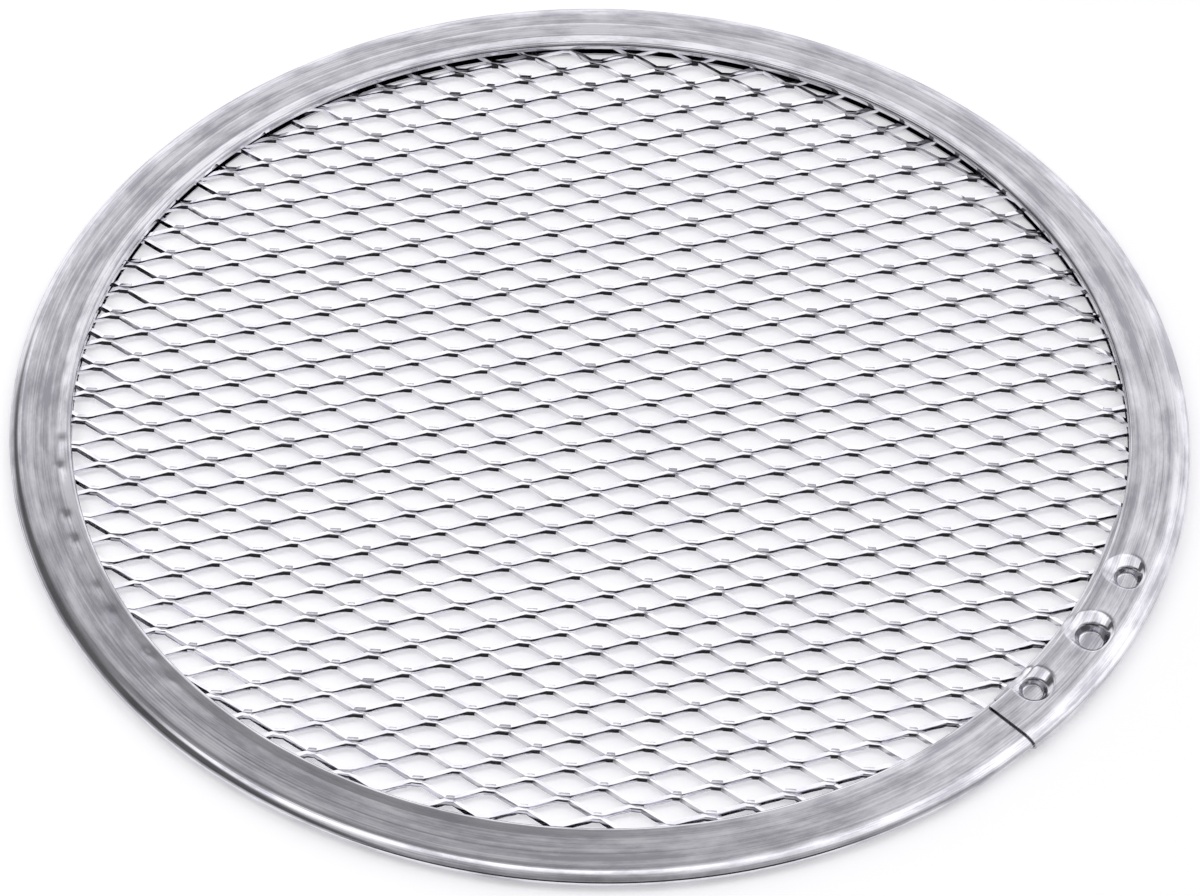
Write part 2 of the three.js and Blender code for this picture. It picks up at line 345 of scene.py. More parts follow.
# Share of a strand over which the climb of a bond's near edge fades.
CLIMB_SHARE = 0.7


def step_shares(kind, sheet):
    """Steps at the left and right ends of each bond, in half thicknesses."""
    share = 2 / sheet.sheet * kind[:, 2:]
    return share * sheet.left_step, share * sheet.right_step


def middle_levels(up, leaving, arriving, step_a, step_b):
    """Levels of a strand's two middle corners, in front and at the back.

    Where two strands part, the middle corner of one is an outer corner of the other.
    """
    outer, outer_step, inner, inner_step = leaving, step_a, arriving, step_b
    if up < 0:
        outer, outer_step, inner, inner_step = arriving, step_b, leaving, step_a
    front = SECTION[FRONT_MIDDLE][1] * (1 - outer) + outer - outer * outer_step
    back = SECTION[BACK_MIDDLE][1] * (1 - inner) + inner * inner_step - inner
    return front, back


def strands(a, b, kind_a, kind_b, up, first, last, sheet):
    """Strands from bonds a to bonds b on their right, as points [strand, step, corner, xyz].

    A bond's kind is its tilt, its length and the share of the steps that it has.
    A strand runs straight between two slit ends. With bent = 0 at the bonds and 1 in between, it
    turns from the mitre at the bonds to its own heading, and its tilt eases from the bonds' tilt.
    It is in the lifted half of one bond and in the other half of the next.
    """
    axis = np.array((math.cos(sheet.turn), math.sin(sheet.turn), 0.0))
    ease = (1 - np.cos(np.linspace(0, math.pi, STRAND_STEPS + 1))) / 2
    t = first[:, None] + (last - first)[:, None] * ease
    tilt_a, tilt_b = kind_a[:, 0], kind_b[:, 0]
    start = a + kind_a[:, 1:2] / 2 * axis + up * mitre(up, tilt_a, sheet) / 2
    end = b - kind_b[:, 1:2] / 2 * axis - up * mitre(up, tilt_b, sheet) / 2
    path = start[:, None] + t[..., None] * (end - start)[:, None]

    heading = strand_heading(up, sheet)
    leaving, arriving = 1 - smooth(0, BEND_SHARE, t), smooth(1 - BEND_SHARE, 1, t)
    bent = 1 - leaving - arriving
    eased = smooth(0, TILTED_FROM, t) * smooth(1, TILTED_TO, t)
    tilt = tilt_a[:, None] + (tilt_b - tilt_a)[:, None] * t
    tilt = tilt + ((sheet.rising_tilt if up > 0 else sheet.falling_tilt) - sheet.tilt) * eased
    turned = heading * (1 + bent) / 2
    across, _ = section_axes(sheet.turn + turned, tilt)
    across = across * (sheet.strand / np.cos(heading - turned))[..., None]
    half = half_thickness(sheet.turn + heading * bent, tilt, sheet)
    _, step_a = step_shares(kind_a, sheet)
    step_b, _ = step_shares(kind_b, sheet)
    lift = up / 2 * (step_a + (-step_b - step_a) * t)

    levels = [0 * t + level for _, level in SECTION]
    front, levels[BACK_MIDDLE] = middle_levels(up, leaving, arriving, step_a, step_b)
    levels[FRONT_MIDDLE] = front
    corners = [path + side / 2 * across + (level + lift)[..., None] * half
               for (side, _), level in zip(SECTION, levels)]

    # The sheared face leans back: its upper part at the bonds, and all of it on a falling strand.
    slant = np.tan(sheet.lean + (sheet.rising_lean - sheet.lean) * bent)
    lean = slant * sheet.sheet / 2 * (1 - front) / sheet.strand
    lean = lean * (1 if up > 0 else 1 - bent)
    corners[FRONT_TOP] = corners[FRONT_TOP] + lean[..., None] * across
    if up < 0:
        lean = math.tan(sheet.falling_lean) * sheet.sheet / 2 * bent / sheet.strand
        corners[FRONT_MIDDLE] = corners[FRONT_MIDDLE] + ((1 + front) * lean)[..., None] * across
        corners[FRONT_TOP] = corners[FRONT_TOP] + (2 * lean)[..., None] * across
    return climb(np.stack(corners, 2), up, t, sheet)


def climb(corners, up, t, sheet):
    """Strands whose near corners follow the climb of the bonds' near edges, at the end that they form."""
    share = -smooth(1 - CLIMB_SHARE, 1, t) if up > 0 else 1 - smooth(0, CLIMB_SHARE, t)
    corners[..., :FRONT_TOP + 1, 2] += (sheet.pitch / 2 * share)[..., None]
    return corners


def bonds(centre, kind, sheet):
    """Bonds as two tilted halves, points [bond, corner, xyz]: left end, then right end.

    The row between the halves ends at the slits, and the near and far rows where the strands'
    mitres meet them. The far half is lifted by the step, half of it up and half of it down.
    """
    axis = np.array((math.cos(sheet.turn), math.sin(sheet.turn), 0.0))
    tilt = kind[:, 0]
    half = half_thickness(sheet.turn + 0 * tilt, tilt, sheet)
    steps = step_shares(kind, sheet)
    level = SECTION[FRONT_MIDDLE][1]
    slope = math.tan(sheet.lean) * sheet.sheet / 2 / sheet.strand
    rising, falling = mitre(1, tilt, sheet), mitre(-1, tilt, sheet)
    points = []
    for end, near, far, step in ((-1, rising, falling, steps[0]), (1, falling, rising, steps[1])):
        slit = centre + end * kind[:, 1:2] / 2 * axis
        low, high = slit - step / 2 * half, slit + step / 2 * half
        edge = low - near + np.array((0, 0, end * sheet.pitch / 2))
        points += [edge - half, edge + level * half, edge + half + (1 - level) * slope * near]
        points += [low - half, high - half, low + half, high + half + step * slope * far]
        points += [high + far - half, high + far + level * half, high + far + half]
    return np.stack(points, 1)


# Corner numbers of a bond, in the order of bonds(). A port is the loop where a strand starts.
BOND_CORNERS = 20
BOND_FACES = np.array((
    (0, 10, 11, 1), (1, 11, 12, 2), (2, 12, 15, 5), (5, 15, 16, 6), (6, 16, 19, 9),
    (17, 7, 8, 18), (18, 8, 9, 19), (7, 17, 14, 4), (4, 14, 13, 3), (3, 13, 10, 0)))
RIGHT_PORTS = {1: (14, 15, 16, 19, 18, 17), -1: (10, 11, 12, 15, 14, 13)}
LEFT_PORTS = {1: (0, 1, 2, 5, 4, 3), -1: (4, 5, 6, 9, 8, 7)}
# Crisp bends of a bond, by number: those at its four corners, the far ones with the mitre on top.
BENDS = np.repeat((1, 0, 2, 3, 0, 4), (3, 3, 4, 3, 3, 4))


# Unevenness of the stretching, in the bonds' places, heights and tilts.
PLACE_STRAY, HEIGHT_STRAY, TILT_STRAY = 0.04 * MM, 0.015 * MM, math.radians(0.8)
# Radii between which the rim's press takes tilt from the bonds.
PRESSED_FROM, PRESSED_TO = 111.5 * MM, 114.5 * MM
# Share of a strand below which its stub is left out.
SHORTEST_STUB = 0.08
# Points that are closer than this are one point.
WELD_DISTANCE = 1e-8


def stretched_bonds(grid, sheet, rim):
    """Every bond's middle, kind, blank radius and whether it is in the blank, as stretching left them."""
    random = np.random.default_rng(sheet.seed)
    plan = grid.centre + random.normal(0, PLACE_STRAY, grid.centre.shape)
    height = sheet.middle + random.normal(0, HEIGHT_STRAY, grid.row.shape)
    tilt = sheet.tilt - sheet.tilt_spread * plan[..., 1] / sheet.radius
    tilt = tilt + random.normal(0, TILT_STRAY, grid.row.shape)
    distance = np.hypot(plan[..., 0], plan[..., 1])
    tilt = tilt * (1 - (1 - sheet.pressed) * smooth(PRESSED_FROM, PRESSED_TO, distance))
    short = grid.row % 2
    share = np.minimum(tilt / sheet.tilt, 1) * (1 - (1 - sheet.short_share) * short)
    kind = np.stack((tilt, sheet.bond + (0.5 - short) * sheet.bond_spread, share), -1)
    middle = np.concatenate((plan, height[..., None]), -1)
    reach = blank_radius(plan, sheet, rim)
    return middle, kind, reach, grid.used & (distance < reach)


def sheet_surface(sheet, rim):
    """Points, faces and kinds of bend: bonds, strands between them, and stubs cut at the blank's edge."""
    grid = Grid(sheet)
    middle, kind, reach, inside = stretched_bonds(grid, sheet, rim)
    total = int(inside.sum())
    number = np.full(inside.shape, -1)
    number[inside] = np.arange(total)
    points = [bonds(middle[inside], kind[inside], sheet).reshape(-1, 3)]
    quads = [(BOND_CORNERS * np.arange(total)[:, None, None] + BOND_FACES).reshape(-1, 4)]
    ends = []
    count = BOND_CORNERS * total
    half = sheet.long_way / 2
    span = half - sheet.bond
    for up in (1, -1):
        next_middle, next_kind, next_reach, next_inside, next_number = (
            np.roll(values, (-1, -up), (0, 1)) for values in (middle, kind, reach, inside, number))
        either = grid.used & (inside | next_inside)
        a, b = middle[either], next_middle[either]
        in_a, in_b = inside[either], next_inside[either]
        kind_a, kind_b = kind[either], next_kind[either]
        out = share_inside(a[:, :2], b[:, :2], reach[either])
        back = share_inside(b[:, :2], a[:, :2], next_reach[either])
        last = np.where(in_b, 1, (out * half - kind_a[:, 1] / 2) / span)
        first = np.where(in_a, 0, 1 - (back * half - kind_b[:, 1] / 2) / span)
        made = last - first > SHORTEST_STUB
        bare_a, bare_b = number[either][in_a & ~made], next_number[either][in_b & ~made]
        ends.append(BOND_CORNERS * bare_a[:, None] + np.array(RIGHT_PORTS[up][::-1]))
        ends.append(BOND_CORNERS * bare_b[:, None] + np.array(LEFT_PORTS[up]))
        tubes = strands(a[made], b[made], kind_a[made], kind_b[made], up, first[made], last[made], sheet)
        index = numbered(tubes, count)
        quads.append(swept_faces(index))
        ends.append(index[~in_b[made], -1, ::-1])
        ends.append(index[~in_a[made], 0])
        points.append(tubes.reshape(-1, 3))
        count += index.size
    points, place = weld(np.concatenate(points))
    bends = np.zeros(len(points), int)
    bends[place[:BOND_CORNERS * total]] = np.tile(BENDS, total)
    faces = place[np.concatenate(quads)].tolist() + place[np.concatenate(ends)].tolist()
    return points, faces, bends


def weld(points):
    """Points with those that coincide made one, and the new number of each old point."""
    key = np.round(points / WELD_DISTANCE).astype(np.int64)
    _, kept, place = np.unique(key, axis=0, return_index=True, return_inverse=True)
    return points[kept], place.reshape(-1)


# Rolled rim

# Where the sleeve's rise has faded, and how long before its full turn the tongue sinks, in laps.
SLEEVE_END, TONGUE_START = 1.8, 0.4


def lap_weights(along, rim):
    """How far each station belongs to the sleeve, on top, and to the tongue, below."""
    sleeve = 1 - smooth(rim.lap, SLEEVE_END * rim.lap, along)
    tongue = smooth(TURN - TONGUE_START * rim.lap, TURN, along)
    return sleeve, tongue


# Width of the dishes on their narrow and wide sides. The wide side's direction is given along the rim
# and outwards, with the cosines from it between which the width grows.
DISH_NARROW, DISH_WIDE = 1.1 * MM, 2.7 * MM
WIDE_SIDE = (0.6, -0.8)
WIDE_FROM, WIDE_TO = -0.4, 0.9
# How far before the fold the dishes begin to fade, and end.
DISH_FADE, DISH_END = 2.2 * MM, 0.2 * MM
# Run of a pocket's wall for each unit of depth, and how straight the wall is.
WALL_RUN, WALL_STRAIGHT = 0.6, 0.6


def dimple_drop(radius, along, rim):
    """How far the punch pressed the sleeve down at each point.

    Each dimple is a cone-shaped dish, wider on one side, round a pocket with a flat floor. With x
    along the rim, y outwards and d = hypot(x, y), the drop is
    dish * (1 - (d - mouth) / width) + depth * (1 - wall(d)), with both terms clipped.
    """
    drop = np.zeros(np.broadcast_shapes(radius.shape, along.shape))
    fold = rim.radius - rim.fold
    marks = zip(rim.dimple_angles, rim.dimple_radii, rim.dimple_mouths, rim.dimple_depths)
    for at, centre, mouth, depth in marks:
        x = centre * (along - at)
        y = radius - centre
        far = np.hypot(x, y)
        toward = (WIDE_SIDE[0] * x + WIDE_SIDE[1] * y) / np.maximum(far, mouth / 2)
        width = DISH_NARROW + (DISH_WIDE - DISH_NARROW) * smooth(WIDE_FROM, WIDE_TO, toward)
        dish = np.clip((mouth + width - far) / width, 0, 1)
        dish = dish * (1 - smooth(fold - DISH_FADE, fold - DISH_END, radius))
        t = np.clip((far - mouth) / (WALL_RUN * depth) + 1, 0, 1)
        wall = WALL_STRAIGHT * t + (1 - WALL_STRAIGHT) * smooth(0, 1, t)
        drop += rim.dish * dish + depth * (1 - wall)
    return drop


# Bonds between these radii are caught under the rim, and the press marks them at one radius.
CAUGHT_FROM, CAUGHT_TO = 112.6 * MM, 117.4 * MM
MARK_RADIUS, MARK_STRAY = 116.9 * MM, 0.5 * MM
# Reach of a mark along the rim, on its steep and its long side, and across it.
MARK_STEEP, MARK_LONG, MARK_ACROSS = 1.0 * MM, 2.6 * MM, 1.1 * MM
# Where the press hit hardest, on the left, and where it left nothing, in front, as an angle past
# the sleeve's end and its spread.
HARD_PRESS, NO_PRESS = np.radians((244, 22)), np.radians((313, 24))
# Share of the depth elsewhere, the spread of the depths, and how many laps stay clear.
LIGHT_PRESS, WEAKEST, STRONGEST, CLEAR_LAPS = 0.2, 0.5, 1.2, 1.1


def press_marks(radius, along, rim, sheet):
    """Depth of the dents over the bonds caught under the rim, as a sum of Gaussian bells.

    Each bell is steep on one side and long on the other, as the press slid along the strip.
    """
    grid = Grid(sheet)
    random = np.random.default_rng(sheet.seed + 1)
    plan = grid.centre[grid.used]
    distance = np.hypot(plan[:, 0], plan[:, 1])
    plan = plan[(distance > CAUGHT_FROM) & (distance < CAUGHT_TO)]
    where = np.mod(np.arctan2(plan[:, 1], plan[:, 0]) - rim.sleeve_end, TURN)
    centre = MARK_RADIUS + random.normal(0, MARK_STRAY, where.shape)
    hard, spared = (np.exp(-((where - at) / spread) ** 2) for at, spread in (HARD_PRESS, NO_PRESS))
    force = (LIGHT_PRESS + (1 - LIGHT_PRESS) * hard) * (1 - spared)
    depth = rim.mark * force * random.uniform(WEAKEST, STRONGEST, where.shape)
    depth = np.where(where < CLEAR_LAPS * rim.lap, 0, depth)
    total = np.zeros(np.broadcast_shapes(radius.shape, along.shape))
    for at, middle, deep in zip(where, centre, depth):
        x = middle * (along - at)
        reach = np.where(x > 0, MARK_LONG, MARK_STEEP)
        total += deep * np.exp(-(x / reach) ** 2 - ((radius - middle) / MARK_ACROSS) ** 2)
    return total


# Points in the section: from the curl to the crease, from there to the fold, round the fold, along
# the lower flange, round the curl and down its edge.
INNER_STEPS, OUTER_STEPS, FOLD_STEPS, LOWER_STEPS, CURL_STEPS, EDGE_STEPS = 32, 16, 16, 6, 7, 4
# How far the cut edges of the strip bulge.
EDGE_BULGE = 0.07 * MM


def flange_profile(rim):
    """Radii across the upper flange from the curl to the fold, closer together at the crease."""
    inner, fold = rim.radius - rim.width + rim.curl, rim.radius - rim.fold
    gap = 0.3 * MM
    line = rim.crease + np.array((-0.14, 0, 0.14)) * MM
    return np.concatenate((np.linspace(inner, rim.crease - gap, INNER_STEPS), line,
                           np.linspace(rim.crease + gap, fold, OUTER_STEPS)))


def channel_outline(rim):
    """The folded strip's section: radius, height, height in the lap and share in the upper flange.

    The outer skin runs from the curled inner edge, a quarter circle, over the fold, a half ellipse,
    to the lower inner edge; the inner skin comes back at one thickness. A point stands out in the
    middle of each cut. The lap presses the curl flat, to one thickness of the strip.
    """
    inner, fold = rim.radius - rim.width, rim.radius - rim.fold
    crest = rim.height + rim.band_rise
    flange = flange_profile(rim)
    rise = rim.band_rise * np.clip((inner + rim.band - flange) / (rim.band - rim.curl), 0, 1)
    bend = np.linspace(math.pi, math.pi / 2, CURL_STEPS)[:-1]
    upright = np.linspace(rim.curl_bottom, crest - rim.curl, EDGE_STEPS)[:-1]
    turn = np.linspace(math.pi / 2, -math.pi / 2, FOLD_STEPS)[1:-1]
    lower = np.linspace(fold, inner, LOWER_STEPS)
    radius, height, upper = [], [], []
    for inset, way in ((0, 1), (rim.strip, -1)):
        across, tall, curl = rim.fold - inset, rim.height / 2 - inset, rim.curl - inset
        r = (inner + inset + 0 * upright, inner + rim.curl + curl * np.cos(bend), flange,
             fold + across * np.cos(turn), lower)
        z = (upright, crest - rim.curl + curl * np.sin(bend), rim.height + rise - inset,
             rim.height / 2 + tall * np.sin(turn), 0 * lower + inset)
        share = (0 * upright + 1, 0 * bend + 1, 0 * flange + 1, (1 + np.sin(turn)) / 2, 0 * lower)
        radius.append(np.concatenate(r)[::way])
        height.append(np.concatenate(z)[::way])
        upper.append(np.concatenate(share)[::way])
    middle = rim.strip / 2
    radius = np.concatenate((radius[0], [inner - EDGE_BULGE], radius[1], [inner + middle]))
    height = np.concatenate((height[0], [middle], height[1], [rim.curl_bottom - EDGE_BULGE]))
    upper = np.concatenate((upper[0], [0], upper[1], [1]))
    squeeze = rim.strip / (crest - rim.curl_bottom)
    flat = rim.height - rim.pressed_drop - (crest - height) * squeeze
    share = np.clip((inner + rim.band - radius) / (rim.band - rim.curl), 0, 1) * (upper == 1)
    return radius, height, height + share * (flat - height), upper


def loop_caps(count):
    """Faces that close the two ends of a loop of count + 1 + count + 1 points."""
    i = np.arange(count - 1)
    quads = np.stack((i, i + 1, 2 * count - i - 1, 2 * count - i), -1)
    corners = np.array(((count - 1, count, count + 1), (2 * count, 2 * count + 1, 0)))
    return quads, corners


# Stations for each degree past the sleeve's end: more in the lap and at the dents on the left.
STATION_DENSITY = ((29, 4), (31, 0.85), (221, 0.85), (223, 2.5), (271, 2.5), (273, 0.9))
# How many more there are at a pocket, and for how many degrees on each side of it.
POCKET_DENSITY, POCKET_SPAN = 8, 2
# Where the strip ends inside the sleeve, in degrees, and the samples of the density up to there.
TONGUE_END, DENSITY_SAMPLES = 361.5, 20000


def strip_stations(rim):
    """Angles from the sleeve's end to the tongue's, at equal steps of the density's running sum."""
    degrees = np.linspace(0, TONGUE_END, DENSITY_SAMPLES)
    per_degree = np.interp(degrees, *np.transpose(STATION_DENSITY))
    for at in rim.dimple_angles:
        per_degree += POCKET_DENSITY * np.exp(-((degrees - math.degrees(at)) / POCKET_SPAN) ** 8)
    count = np.cumsum(per_degree) * (degrees[1] - degrees[0])
    return np.radians(np.interp(np.linspace(count[0], count[-1], int(count[-1])), count, degrees))


# How far the crease waves, and how far it moves at the sleeve and, from an angle on, at the tongue.
CREASE_WAVE, CREASE_AT_SLEEVE, CREASE_AT_TONGUE = 0.1 * MM, 0.3 * MM, 0.4 * MM
CREASE_MOVES = math.radians(350)


def crease_shift(along, sleeve):
    """How far the crease strays: wave * (sin(5a + 1) + sin(11a)) at the angle a, and a move at the lap."""
    waves = CREASE_WAVE * (np.sin(5 * along + 1) + np.sin(11 * along))
    tongue = smooth(CREASE_MOVES, TURN, along)
    return CREASE_AT_SLEEVE * sleeve - CREASE_AT_TONGUE * tongue + waves


def carried_round(r, z, along, across, rim):
    """Points at radius r, height z and an angle past the sleeve's end, and where they lie on the strip."""
    turn = along + rim.sleeve_end
    points = np.stack((r * np.cos(turn), r * np.sin(turn), z + 0 * r), -1)
    strip = np.stack(np.broadcast_arrays(along * rim.radius, across, 0 * r), -1)
    return points, strip


def rolled_channel(rim, sheet):
    """The channel carried round the ring from the sleeve's end to the tongue inside the sleeve.

    The section grows by the sleeve's rise and shrinks by the tongue's sink, and the tongue's lower
    flange is lifted and cut back. The upper flange gets the crease, the press marks and the dimples.
    """
    along = strip_stations(rim)[:, None]
    radius, height, pressed, upper = channel_outline(rim)
    inner, fold = rim.radius - rim.width, rim.radius - rim.fold
    sleeve, tongue = lap_weights(along, rim)

    shift = crease_shift(along, sleeve)
    tent = np.interp(radius, (inner, rim.crease, fold), (0, 1, 0)) * (upper == 1)
    r = radius + shift * tent
    groove = np.exp(-((r - rim.crease - shift) / rim.crease_width) ** 2)
    change = -press_marks(r, along, rim, sheet) - rim.crease_depth * groove
    change -= dimple_drop(r, along, rim) * (along < rim.lap)
    growth = rim.sleeve_rise * sleeve - rim.tongue_sink * tongue
    z = height + (pressed - height) * np.maximum(sleeve, tongue)
    joggle = smooth(TURN - rim.joggle, TURN, along)
    z = z + upper * growth + (upper == 1) * change + (1 - upper) * rim.tongue_lift * joggle
    cut = rim.tongue_cut * (fold - radius) / (fold - inner) * (upper == 0)
    across = np.cumsum(np.hypot(np.diff(radius, prepend=radius[0]), np.diff(height, prepend=height[0])))
    return carried_round(r + growth + cut * joggle, z, along, across, rim)


# The tongue's lip: its section in millimetres, as radius past its edge and height.
LIP_OUTLINE = ((0.0, 2.75), (0.05, 2.98), (0.2, 3.03), (0.8, 3.05), (1.5, 3.05),
               (1.55, 2.85), (1.5, 2.64), (0.8, 2.64), (0.2, 2.62), (0.04, 2.64))
# Stations along the lip, and how far past the full turn it starts.
LIP_STATIONS, LIP_START = 150, math.radians(1.2)
# How far the lip bulges inwards, and the shares of the lap between which it has its full bulge.
LIP_BULGE, BULGE_FROM, BULGE_TO = 0.6 * MM, 0.12, 0.85
# How high the lip waves, how many waves there are to a turn, and its share of the dimples' drop.
LIP_WAVE, SHORT_WAVE, LONG_WAVE, LIP_DROP = 0.05 * MM, 73.16, 27.14, 0.8
# Width of the lip that the dimples press as one, and of the strip that its outline stands for.
LIP_PRESSED, LIP_STRIP = 1 * MM, 5 * MM


def tongue_lip(rim):
    """The edge of the tongue along the inside of the lap: a flat bar with rounded edges."""
    along = np.linspace(TURN + LIP_START, TURN + rim.lap, LIP_STATIONS)[:, None]
    past = along - TURN
    bulge = smooth(0, BULGE_FROM * rim.lap, past) * (1 - smooth(BULGE_TO * rim.lap, rim.lap, past))
    inner = rim.radius - rim.width - rim.tongue_sink - LIP_BULGE * bulge
    outline = np.array(LIP_OUTLINE) * MM
    r = inner + outline[:, 0]
    sunk = dimple_drop(np.minimum(r, inner + LIP_PRESSED), past, rim)
    waves = LIP_WAVE * np.sin(SHORT_WAVE * along) * np.sin(LONG_WAVE * along + 1)
    z = outline[:, 1] - LIP_DROP * sunk + waves
    return carried_round(r, z, along, np.linspace(0, LIP_STRIP, len(outline)), rim)


def rim_surface(rim, sheet):
    """Points, faces and strip coordinates of the channel and the tongue's lip, as two closed shells."""
    channel, channel_strip = rolled_channel(rim, sheet)
    index = numbered(channel, 0)
    quads, corners = loop_caps(index.shape[1] // 2 - 1)
    faces = [swept_faces(index), quads, quads[:, ::-1] + index[-1, 0]]
    triangles = [corners, corners[:, ::-1] + index[-1, 0]]

    lip, lip_strip = tongue_lip(rim)
    index = numbered(lip, index.size)
    faces.append(swept_faces(index)[:, ::-1])
    caps = [index[0, ::-1].tolist(), index[-1].tolist()]
    points = np.concatenate((channel.reshape(-1, 3), lip.reshape(-1, 3)))
    strip = np.concatenate((channel_strip.reshape(-1, 3), lip_strip.reshape(-1, 3)))
    every = np.concatenate(faces).tolist() + np.concatenate(triangles).tolist() + caps
    return points, every, strip


# Finishes

def bare_metal(tree, tone, colours, roughness, grain, strength, depth):
    """A bare metal's shader: its tone, 0 to 1, runs between two colours and two roughnesses."""
    base = add(tree, "Mix", {0: tone, 6: colours[0], 7: colours[1]}, data_type="RGBA")
    rough = add(tree, "MapRange", {"Value": tone, "To Min": roughness[0], "To Max": roughness[1]})
    bump = add(tree, "Bump", {"Height": grain, "Strength": strength, "Distance": depth})
    shader = add(tree, "BsdfPrincipled", {"Base Color": base.outputs[2], "Metallic": 1.0,
                                          "Roughness": rough, "Normal": bump})
    add(tree, "OutputMaterial", {"Surface": shader})


# Marks along the strip: length and width in millimetres, and the noise's detail and roughness. The
# draw lines are coarser than real ones, so that they show.
DRAW_LINES, ROLL_BANDS, SMUDGES = (60, 0.35, 3, 0.5), (400, 2.1, 1, 0.5), (14, 4, 6, 0.62)


def rolled_aluminium(rim):
    """Cold-rolled aluminium strip, drawn through forming rolls and left as it came.

    The rolls leave fine lines along the strip, and oil and handling leave soft grey smudges, so
    it looks satin rather than bright.
    """
    material, tree = new_material("rolled_aluminium_strip")
    strip = add(tree, "Attribute", attribute_name="strip").outputs["Vector"]
    marks = []
    for long, wide, detail, roughness in (DRAW_LINES, ROLL_BANDS, SMUDGES):
        place = add(tree, "Mapping", {"Vector": strip, "Scale": (1 / (long * MM), 1 / (wide * MM), 1)})
        marks.append(add(tree, "TexNoise", {"Vector": place, "Scale": 1.0, "Detail": detail,
                                            "Roughness": roughness}))
    lines, bands, smudges = marks
    dirt = add(tree, "MapRange", {"Value": smudges, "From Min": 0.36, "From Max": 0.66})
    streaks = add(tree, "MapRange", {"Value": lines, "From Min": 0.3, "From Max": 0.7,
                                     "To Min": -0.32, "To Max": 0.32})
    polish = add(tree, "MapRange", {"Value": bands, "From Min": 0.35, "From Max": 0.65,
                                    "To Min": -0.3, "To Max": 0.3})
    tone = add(tree, "Math", {0: dirt, 1: streaks}, operation="ADD")
    tone = add(tree, "Math", {0: tone, 1: polish}, operation="ADD", use_clamp=True)
    bare_metal(tree, tone, (rim.colour, rim.smudge), (0.1, 0.2), lines, 0.35, 0.03 * MM)
    return material


def expanded_aluminium(sheet):
    """Bright aluminium sheet, slit and stretched, so that every strand shows a sheared face.

    The sheared faces are clean and a little grainy, and mirror the room softly.
    """
    material, tree = new_material("expanded_aluminium_sheet")
    place = add(tree, "TexCoord").outputs["Object"]

    # Dull patches about 5 mm across, and shear grain 0.25 mm across.
    patches = add(tree, "TexNoise", {"Vector": place, "Scale": 1 / (5 * MM), "Detail": 4.0})
    grain = add(tree, "TexNoise", {"Vector": place, "Scale": 1 / (0.25 * MM), "Detail": 2.0})
    tone = add(tree, "MapRange", {"Value": patches, "From Min": 0.35, "From Max": 0.7})
    bare_metal(tree, tone, (sheet.colour, sheet.dull), (0.07, 0.13), grain, 0.1, 0.02 * MM)
    return material


def matt_table(stage):
    """Matt white laminate: no gloss, and white to the eye where nothing shades it."""
    material, tree = new_material("matt_table")
    path = add(tree, "LightPath")
    seen = add(tree, "Math", {0: path.outputs["Is Camera Ray"], 1: path.outputs["Is Glossy Ray"]},
               operation="MAXIMUM")
    glow = add(tree, "Math", {0: seen, 1: stage.glow}, operation="MULTIPLY")
    shader = add(tree, "BsdfPrincipled", {
        "Base Color": stage.floor, "Roughness": 1.0, "Specular IOR Level": 0.0,
        "Emission Color": (1, 1, 1, 1), "Emission Strength": glow})
    add(tree, "OutputMaterial", {"Surface": shader})
    return material


# The studio from the horizon at the back, over the top, to the horizon in front: angle in degrees,
# then brightness on the left, in the middle and on the right.
STUDIO = ((0, 1.25, 1.25, 1.25), (36, 1.2, 1.15, 1.2), (44, 1.1, 0.68, 0.95), (47, 1.0, 0.66, 1.05),
          (50, 0.62, 0.6, 1.25), (52.5, 0.52, 0.53, 1.3), (56, 0.28, 0.4, 1.25), (60, 0.26, 0.29, 1.4),
          (66, 0.28, 0.4, 1.5), (71, 1.15, 1.15, 1.5), (75, 1.5, 1.5, 1.5), (82, 1.5, 1.45, 1.5),
          (87, 1.1, 0.75, 1.3), (94, 0.8, 0.45, 1.15), (101, 0.65, 0.32, 0.85), (106, 0.6, 0.32, 0.7),
          (124, 0.5, 0.3, 0.5), (136, 0.4, 0.25, 0.45), (143, 0.4, 0.3, 0.45), (152, 0.35, 0.35, 0.35),
          (157.5, 0.03, 0.03, 0.03), (180, 0.01, 0.01, 0.01))


